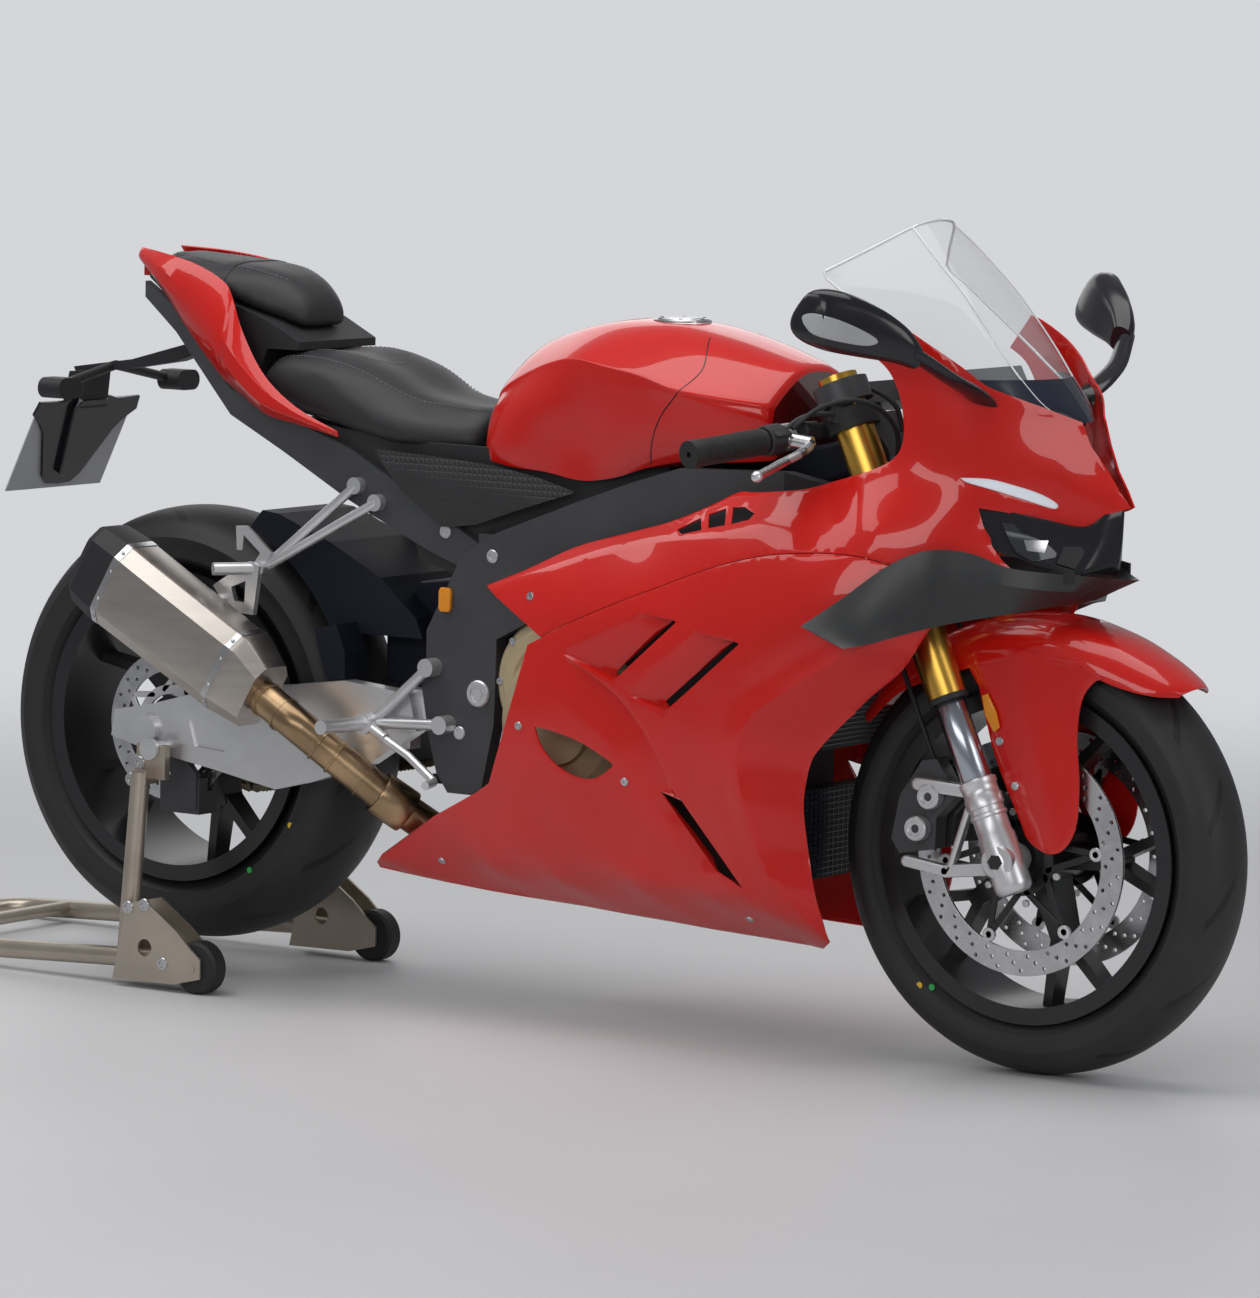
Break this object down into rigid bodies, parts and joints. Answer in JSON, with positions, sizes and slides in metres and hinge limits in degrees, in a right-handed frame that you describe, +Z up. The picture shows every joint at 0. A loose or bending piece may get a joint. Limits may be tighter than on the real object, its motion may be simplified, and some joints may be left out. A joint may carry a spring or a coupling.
{
  "type": "sport motorcycle on a rear paddock stand",
  "caption": "Faired sport motorcycle with upside-down fork, twin front discs, slanted silencer and tail arm, parked upright on its rear paddock stand.",
  "frame": {"origin": "on the floor, under the middle of the whole model's box", "axes": "+X forward, +Y to the rider's left, +Z up"},
  "size_m": [2.296, 0.776, 1.1469],
  "materials": {
    "red_paint": "glossy red bodywork",
    "frame_grey": "satin dark grey",
    "engine_dark": "dark castings",
    "bronze": "bronze-tinted covers",
    "swingarm_silver": "satin cast silver",
    "cast_silver": "cast silver",
    "black_plastic": "matt moulded black",
    "gloss_black": "gloss black",
    "tyre": "road tyre rubber",
    "wheel_black": "satin black wheels",
    "disc_steel": "machined steel",
    "chain_steel": "oiled steel",
    "titanium": "brushed titanium colour",
    "pipe_bronze": "heat-tinted pipes",
    "seat_cover": "black seat cover",
    "gold": "gold anodised",
    "clear_screen": "clear screen",
    "lamp_lens": "dark lens",
    "red_lens": "red lens",
    "plate_white": "blank plate",
    "stand_steel": "champagne-coloured steel",
    "roller_black": "dark rollers",
    "cap_silver": "machined silver",
    "grip_rubber": "black grips"
  },
  "bodies": {
    "root": {"main_frame": "frame_grey", "subframe": "frame_grey", "engine_block": "engine_dark", "engine_covers": "bronze", "radiators": "black_plastic", "fuel_tank": "red_paint", "fuel_cap": "cap_silver", "rider_seat": "seat_cover", "pillion_seat": "seat_cover", "tail_cowl": "red_paint", "tail_undertray": "black_plastic", "tail_light": "red_lens", "rear_hugger": "gloss_black", "plate_arm": "black_plastic", "number_plate": "plate_white", "side_panels": "black_plastic", "nose_cowl": "red_paint", "headlamps": "lamp_lens", "windscreen": "clear_screen", "dash": "black_plastic", "fairing_stay": "frame_grey", "mirrors": "gloss_black", "winglets": "black_plastic", "upper_fairing": "red_paint", "side_fairing_right": "red_paint", "side_fairing_left": "red_paint", "silencer": "titanium", "exhaust_pipes": "pipe_bronze", "rearsets": "cast_silver", "pillion_footrests": "cast_silver", "swingarm": "swingarm_silver", "rear_caliper": "frame_grey", "drive_chain": "chain_steel", "front_sprocket": "chain_steel", "paddock_stand": "stand_steel"},
    "steering": {"fork_clamps": "frame_grey", "fork_uppers": "gold", "fork_lowers": "cast_silver", "front_calipers": "cast_silver", "front_fender": "red_paint", "handlebars": "grip_rubber", "hand_levers": "cast_silver", "brake_hoses": "grip_rubber"},
    "front_wheel": {"front_tyre": "tyre", "front_rim": "wheel_black", "front_discs": "disc_steel"},
    "rear_wheel": {"rear_tyre": "tyre", "rear_rim": "wheel_black", "rear_disc": "disc_steel", "rear_sprocket": "chain_steel"},
    "side_stand": {"side_stand": "frame_grey"},
    "stand_roller_right": {"stand_roller_right": "roller_black"},
    "stand_roller_left": {"stand_roller_left": "roller_black"}
  },
  "joints": [
    {"name": "steering_turn", "type": "hinge", "parent": "root", "child": "steering", "pos_m": [0.59621, 0, 0.78565], "axis": [-0.4067, 0, 0.9135], "range_deg": [-26, 26]},
    {"name": "front_wheel_spin", "type": "hinge", "parent": "steering", "child": "front_wheel", "pos_m": [0.848, 0, 0.3], "axis": [0, 1, 0], "continuous": true},
    {"name": "rear_wheel_spin", "type": "hinge", "parent": "root", "child": "rear_wheel", "pos_m": [-0.582, 0, 0.364], "axis": [0, 1, 0], "continuous": true},
    {"name": "side_stand_swing", "type": "hinge", "parent": "root", "child": "side_stand", "pos_m": [-0.01, 0.165, 0.338], "axis": [0.018, -0.9049, -0.4253], "range_deg": [0, 91.4]},
    {"name": "stand_roller_right_spin", "type": "hinge", "parent": "root", "child": "stand_roller_right", "pos_m": [-0.429, -0.21, 0.038], "axis": [0, 1, 0], "continuous": true},
    {"name": "stand_roller_left_spin", "type": "hinge", "parent": "root", "child": "stand_roller_left", "pos_m": [-0.429, 0.21, 0.038], "axis": [0, 1, 0], "continuous": true}
  ]
}
